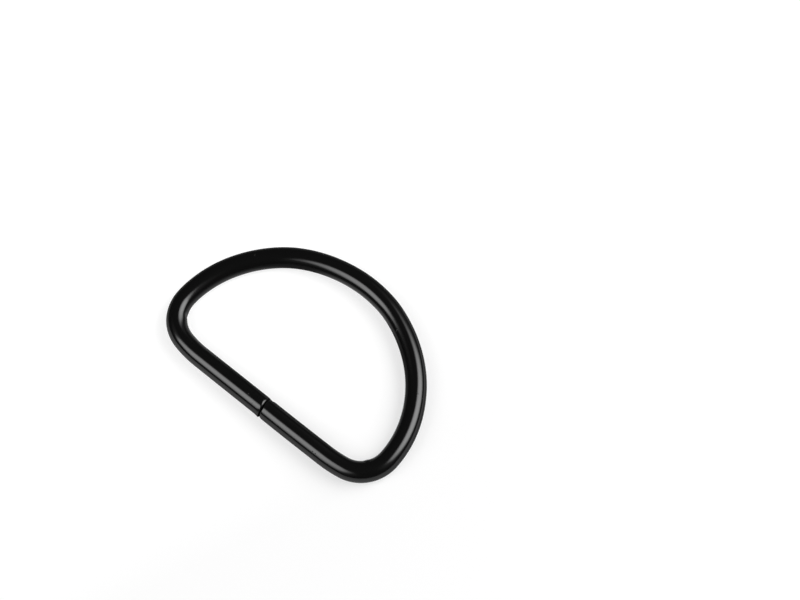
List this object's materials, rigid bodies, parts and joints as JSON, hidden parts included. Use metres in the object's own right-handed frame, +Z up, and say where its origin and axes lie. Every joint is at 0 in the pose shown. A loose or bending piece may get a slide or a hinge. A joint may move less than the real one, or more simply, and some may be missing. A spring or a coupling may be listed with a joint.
{
  "type": "d ring",
  "caption": "Flat-lying D ring bent from one round steel wire, with an open butt seam in the straight bar and a black paint finish, for straps up to 40 mm wide.",
  "frame": {"origin": "middle of the ring's outline, on the surface that the ring lies on", "axes": "+X along the straight bar, +Y from the bar to the crown of the bow, +Z up out of the ring's plane"},
  "size_m": [0.047, 0.0302, 0.0035],
  "materials": {
    "black_paint": "semi-gloss black paint over steel wire"
  },
  "bodies": {
    "root": {"ring_wire": "black_paint"}
  },
  "joints": []
}
